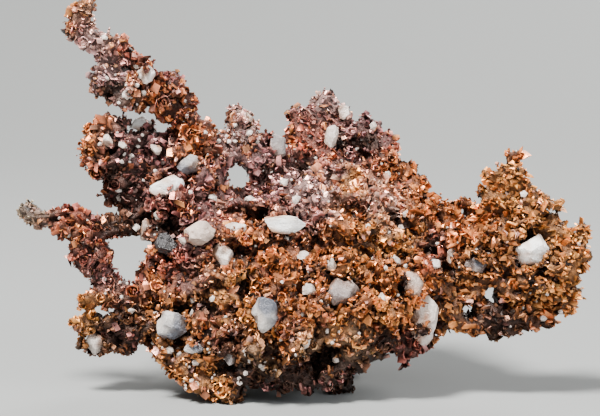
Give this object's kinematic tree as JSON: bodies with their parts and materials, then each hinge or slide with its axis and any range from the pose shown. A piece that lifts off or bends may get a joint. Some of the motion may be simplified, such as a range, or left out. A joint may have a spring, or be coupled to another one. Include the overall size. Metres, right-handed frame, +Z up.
{
  "type": "native copper nugget",
  "caption": "Hackly, branching native copper nugget with quartz grains held in the metal; a display and study specimen that rests on its underside",
  "frame": {"origin": "middle of the bounding box in X and Y, on the surface that the nugget rests on", "axes": "+X runs along the nugget from the thin arm to the wide wing, -Y is the front and +Z is up"},
  "size_m": [0.0382, 0.0172, 0.0264],
  "materials": {
    "copper": "native copper, tarnished from golden bronze to mauve and brown",
    "quartz_white": "milky white quartz",
    "quartz_grey": "grey, faintly translucent quartz"
  },
  "bodies": {
    "root": {"copper": "copper", "quartz_spire": "quartz_white", "quartz_lobe_top": "quartz_white", "quartz_lobe_bead": "quartz_white", "quartz_lobe_grey": "quartz_grey", "quartz_lobe_lens": "quartz_white", "quartz_shoulder": "quartz_grey", "quartz_arm_root": "quartz_grey", "quartz_arm_bead": "quartz_white", "quartz_cavity": "quartz_grey", "quartz_wedge": "quartz_grey", "quartz_slab": "quartz_white", "quartz_sliver": "quartz_white", "quartz_middle_bright": "quartz_white", "quartz_middle_upper": "quartz_white", "quartz_middle_right": "quartz_white", "quartz_middle_lower": "quartz_white", "quartz_middle_large": "quartz_white", "quartz_right_bead": "quartz_white", "quartz_right_pebble": "quartz_white", "quartz_right_chip": "quartz_white", "quartz_right_large": "quartz_grey", "quartz_neck_bead": "quartz_white", "quartz_neck_upper": "quartz_grey", "quartz_neck_grey": "quartz_grey", "quartz_wing": "quartz_white", "quartz_belly_blue": "quartz_grey", "quartz_belly_speckled": "quartz_grey", "quartz_belly_flat": "quartz_grey", "quartz_belly_small": "quartz_white", "quartz_belly_grey": "quartz_grey", "quartz_spur": "quartz_white", "quartz_crest_left": "quartz_grey", "quartz_crest_middle": "quartz_white", "quartz_crest_top": "quartz_white", "quartz_small_spire": "quartz_white", "quartz_back_high": "quartz_white", "quartz_back_left": "quartz_grey", "quartz_back_low": "quartz_white", "quartz_back_middle": "quartz_grey", "quartz_back_crest": "quartz_white", "quartz_back_right": "quartz_grey", "quartz_back_neck": "quartz_white", "quartz_back_wing": "quartz_white"}
  },
  "joints": []
}
